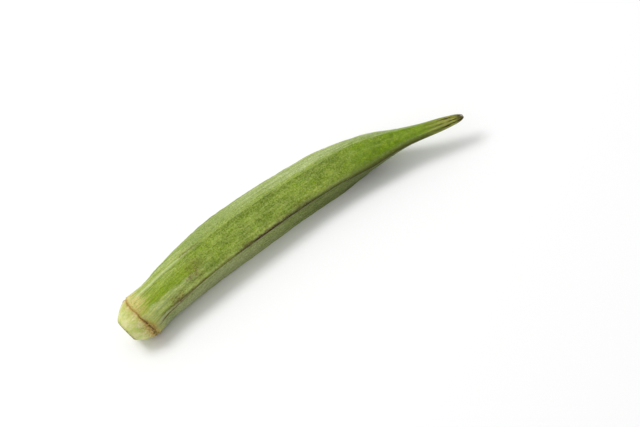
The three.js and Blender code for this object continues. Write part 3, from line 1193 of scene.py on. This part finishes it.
def build_floor():
    """A pale floor, far wider than the view."""
    floor_mesh = bpy.data.meshes.new("floor")
    reach = 2.0  # metres
    corners = [(-reach, -reach, 0), (reach, -reach, 0), (reach, reach, 0), (-reach, reach, 0)]
    floor_mesh.from_pydata(corners, [], [(0, 1, 2, 3)])
    floor = bpy.data.objects.new("floor", floor_mesh)
    bpy.context.scene.collection.objects.link(floor)
    paper, _, shader = new_material("floor paper", 0.9)
    shader.inputs["Base Color"].default_value = (0.9, 0.9, 0.9, 1.0)
    floor_mesh.materials.append(paper)


def build_surround():
    """A bright surround, dimmer low at the front. The camera sees it plain white."""
    world = bpy.data.worlds.new("surround")
    bpy.context.scene.world = world
    world.use_nodes = True
    background = world.node_tree.nodes["Background"]
    background.inputs["Color"].default_value = (1.0, 1.0, 1.0, 1.0)
    direction = node(world.node_tree, "ShaderNodeNewGeometry", out="Incoming")
    _, front, down = parted(direction)
    low_front = ramp(front, 0.1, 0.9) * ramp(down, -0.75, -0.35)
    strength = SURROUND_STRENGTH - low_front * FRONT_DIMMING
    seen = node(world.node_tree, "ShaderNodeLightPath", out="Is Camera Ray")
    feed(world.node_tree, background.inputs["Strength"], strength + seen * (1.0 - strength))


def add_light(name, place, size, power):
    """A square soft light that faces the pod's middle."""
    lamp = bpy.data.lights.new(name, "AREA")
    lamp.size = size
    lamp.energy = power
    holder = bpy.data.objects.new(name, lamp)
    holder.location = place
    holder.rotation_euler = (LIT_POINT - Vector(place)).to_track_quat("-Z", "Y").to_euler()
    bpy.context.scene.collection.objects.link(holder)


# ---- Camera ----

CAMERA_AZIMUTH = 7.0  # degrees round from -Y towards +X
CAMERA_ELEVATION = 50.0
CAMERA_DISTANCE = 613.0 * MM
CAMERA_LENS = 100.0
POD_SLOPE = 32.65  # degrees that the pod rises to the right across the view
POD_MIDDLE = Vector((0.4, -1.4, 8.0)) * MM
FRAME_OFFSET = 11.4 * MM  # from the pod's middle to the view's, to the right


def add_camera():
    """Looks down on the pod's flank, turned so that the pod lies aslant in the view."""
    azimuth, elevation = CAMERA_AZIMUTH * DEG, CAMERA_ELEVATION * DEG
    flat = math.cos(elevation)
    towards = Vector((math.sin(azimuth) * flat, -math.cos(azimuth) * flat, math.sin(elevation)))
    level = Vector((0, 0, 1)).cross(towards).normalized()
    upright = towards.cross(level)
    roll = POD_SLOPE * DEG - math.atan2(upright.x, level.x)
    right = level * math.cos(roll) - upright * math.sin(roll)
    up = level * math.sin(roll) + upright * math.cos(roll)
    camera = bpy.data.cameras.new("camera")
    camera.lens = CAMERA_LENS
    camera.sensor_width = 36.0
    camera.clip_start = 0.01
    holder = bpy.data.objects.new("camera", camera)
    turn = Matrix((right, up, towards)).transposed().to_4x4()
    aim = POD_MIDDLE + right * FRAME_OFFSET
    holder.matrix_world = Matrix.Translation(aim + towards * CAMERA_DISTANCE) @ turn
    bpy.context.scene.collection.objects.link(holder)
    bpy.context.scene.camera = holder


# ---- Putting it together ----

pod = build_pod(skin_material())
spikes = scatter_tree()
hair = spike_material("down hair", HAIR_DARK, HAIR_PALE, 0.6)
dry = spike_material("dry scar", BRUISE, STRAW, 0.85)
fibre = spike_material("cut fibre", DARK_BROWN, STRAW, 0.8)
to_tip, to_stem = (0.9, 0.0, 0.0), (-0.3, 0.0, 0.0)
down = grow_spikes(
    "down", spikes, pod, mask="downy", per_square_mm=2.4, size=(0.5, 0.05, 0.05), seed=3,
    sides=3, bend=0.15, lean=to_tip, disorder=0.35, material=hair)
shreds = grow_spikes(
    "scar_shreds", spikes, pod, mask="scarred", per_square_mm=2.5, size=(0.8, 0.2, 0.1), seed=7,
    sides=4, bend=0.3, lean=to_stem, disorder=0.7, material=dry)
flakes = grow_spikes(
    "scar_flakes", spikes, pod, mask="torn", per_square_mm=2.2, size=(1.5, 0.8, 0.14), seed=9,
    sides=5, bluntness=0.55, bend=0.45, lean=to_stem, disorder=0.9, material=dry)
fibres = grow_spikes(
    "cut_fibres", spikes, pod, mask="on_cut", per_square_mm=6.0, size=(0.5, 0.2, 0.2), seed=5,
    sides=4, bluntness=0.4, bend=0.1, lean=to_stem, disorder=0.35, material=fibre)
for piece in (pod, down, shreds, flakes, fibres):
    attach(piece, "root")
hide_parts("okra_pod")

build_floor()
build_surround()
add_light("key light", place=(-0.2, 0.3, 0.9), size=0.45, power=4.6)
add_camera()
bpy.context.scene.view_settings.view_transform = "Standard"
